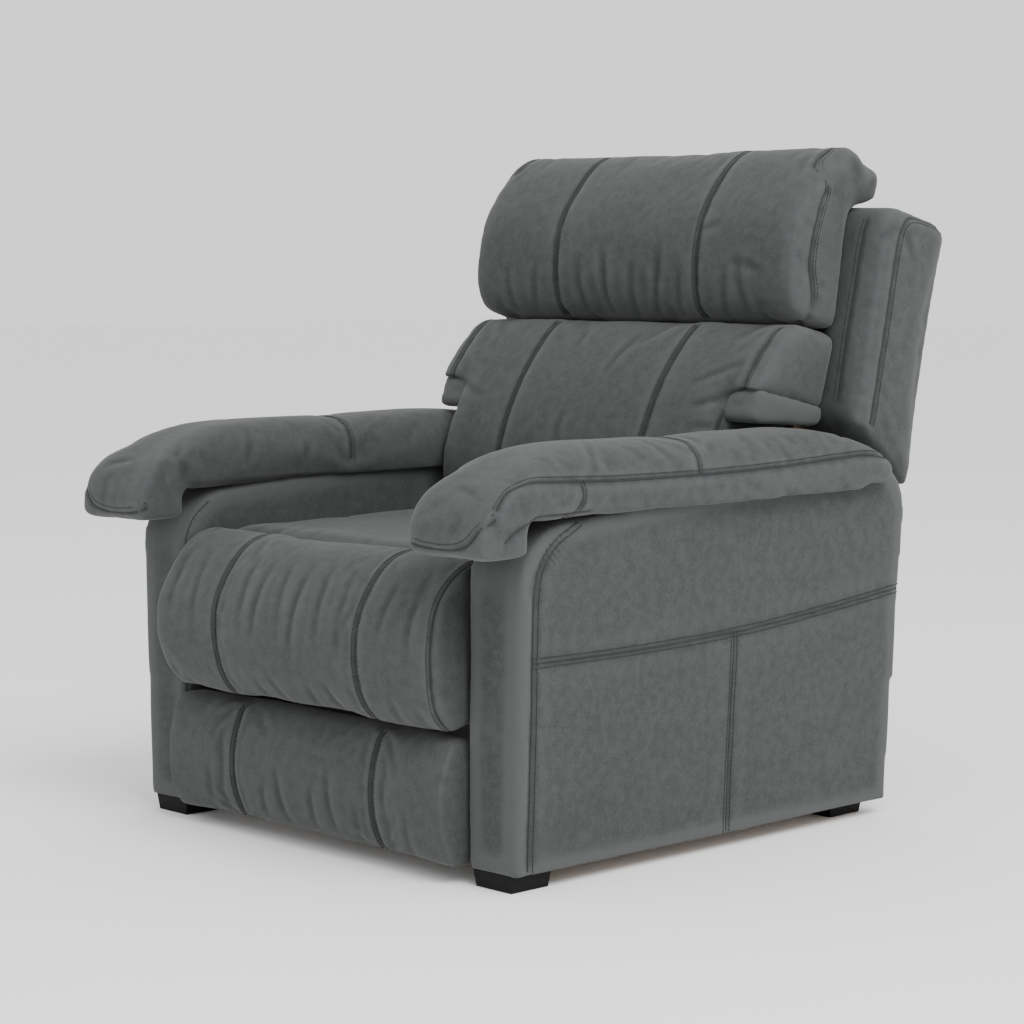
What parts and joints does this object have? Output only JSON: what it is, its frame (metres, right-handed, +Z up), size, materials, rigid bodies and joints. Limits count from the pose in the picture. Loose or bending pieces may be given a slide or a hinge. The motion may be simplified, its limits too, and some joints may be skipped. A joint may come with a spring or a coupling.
{
  "type": "recliner armchair",
  "caption": "Upholstered reclining armchair with padded arms, two-part back cushions, a waterfall seat roll, a fold-out footrest on steel links and low black feet.",
  "frame": {"origin": "on the floor under the middle of the whole chair, with feet soles at z = 0", "axes": "+X to the sitter's left, -Y is the front, +Z up"},
  "size_m": [0.912, 1.0508, 1.0423],
  "materials": {
    "upholstery": "dark grey brushed suede-effect microfibre, matte, mottled nap",
    "plywood": "birch plywood, unfinished",
    "timber": "planed softwood, unfinished",
    "foot_plastic": "black, fine texture",
    "spring_wire": "oiled spring steel wire",
    "fasteners": "zinc plated",
    "handle_plastic": "black satin moulding",
    "cable_sheath": "black sheath",
    "link_steel": "black satin electrocoat on pressed steel"
  },
  "bodies": {
    "base": {"back_hinge_pins": "fasteners", "foot_bolts": "fasteners", "front_left_foot": "foot_plastic", "front_right_foot": "foot_plastic", "guide_rivets": "fasteners", "handle_bezel": "handle_plastic", "handle_pin": "fasteners", "left_arm_base_rail": "timber", "left_arm_cover": "upholstery", "left_arm_front_board": "plywood", "left_arm_inner_panel": "plywood", "left_arm_pad": "upholstery", "left_arm_rear_board": "plywood", "left_seat_side_rail": "timber", "left_side_plate": "link_steel", "rear_cross_rail": "timber", "rear_left_foot": "foot_plastic", "rear_right_foot": "foot_plastic", "release_cable": "cable_sheath", "right_arm_base_rail": "timber", "right_arm_cover": "upholstery", "right_arm_front_board": "plywood", "right_arm_inner_panel": "plywood", "right_arm_pad": "upholstery", "right_arm_rear_board": "plywood", "right_seat_side_rail": "timber", "right_side_plate": "link_steel", "seat_cushion": "upholstery", "seat_front_board": "plywood", "seat_front_roll": "upholstery", "seat_rear_rail": "timber", "seat_springs": "spring_wire", "shaft_bearings": "link_steel", "side_plate_bolts": "fasteners"},
    "drive_links": {"drive_shaft": "link_steel", "left_drive_link": "link_steel", "right_drive_link": "link_steel", "crank_pins": "fasteners"},
    "guide_links": {"left_guide_link": "link_steel", "right_guide_link": "link_steel"},
    "coupler_links": {"left_coupler_link": "link_steel", "right_coupler_link": "link_steel", "coupler_pins": "fasteners"},
    "rest_links": {"left_rest_link": "link_steel", "right_rest_link": "link_steel"},
    "footrest": {"left_footrest_bracket": "link_steel", "right_footrest_bracket": "link_steel", "bracket_pins": "fasteners", "footrest_board": "plywood", "footrest_pad": "upholstery"},
    "backrest": {"back_frame": "timber", "back_springs": "spring_wire", "left_back_bracket": "link_steel", "right_back_bracket": "link_steel", "left_back_wing": "upholstery", "right_back_wing": "upholstery", "back_cover": "upholstery", "lumbar_cushion": "upholstery", "head_cushion": "upholstery"},
    "release": {"release_handle": "handle_plastic"}
  },
  "joints": [
    {"name": "footrest_open", "type": "hinge", "parent": "base", "child": "drive_links", "pos_m": [0, -0.26805, 0.2092], "axis": [-1, 0, 0], "range_deg": [0, 114.4]},
    {"name": "guide_swing", "type": "hinge", "parent": "base", "child": "guide_links", "pos_m": [0, -0.26145, 0.2312], "axis": [-1, 0, 0], "range_deg": [0, 118.95]},
    {"name": "coupler_fold", "type": "hinge", "parent": "drive_links", "child": "coupler_links", "pos_m": [0, -0.15585, 0.0783], "axis": [-1, 0, 0], "range_deg": [-88.65, 0]},
    {"name": "rest_link_fold", "type": "hinge", "parent": "drive_links", "child": "rest_links", "pos_m": [0, -0.13145, 0.0956], "axis": [-1, 0, 0], "range_deg": [-95.45, 0]},
    {"name": "footrest_turn", "type": "hinge", "parent": "coupler_links", "child": "footrest", "pos_m": [0, -0.36845, 0.112], "axis": [-1, 0, 0], "range_deg": [0, 58.25]},
    {"name": "back_recline", "type": "hinge", "parent": "base", "child": "backrest", "pos_m": [0, 0.13355, 0.35], "axis": [-1, 0, 0], "range_deg": [0, 30]},
    {"name": "release_pull", "type": "hinge", "parent": "base", "child": "release", "pos_m": [-0.41524, -0.16645, 0.34828], "axis": [0, 1, 0], "range_deg": [0, 38], "stiffness_Nm_per_rad": 0.4}
  ],
  "couplings": [
    {"joint": "guide_swing", "follows": "footrest_open", "ratio": 1.0393},
    {"joint": "coupler_fold", "follows": "footrest_open", "ratio": -0.77448},
    {"joint": "rest_link_fold", "follows": "footrest_open", "ratio": -0.83392},
    {"joint": "footrest_turn", "follows": "footrest_open", "ratio": 0.50874}
  ]
}
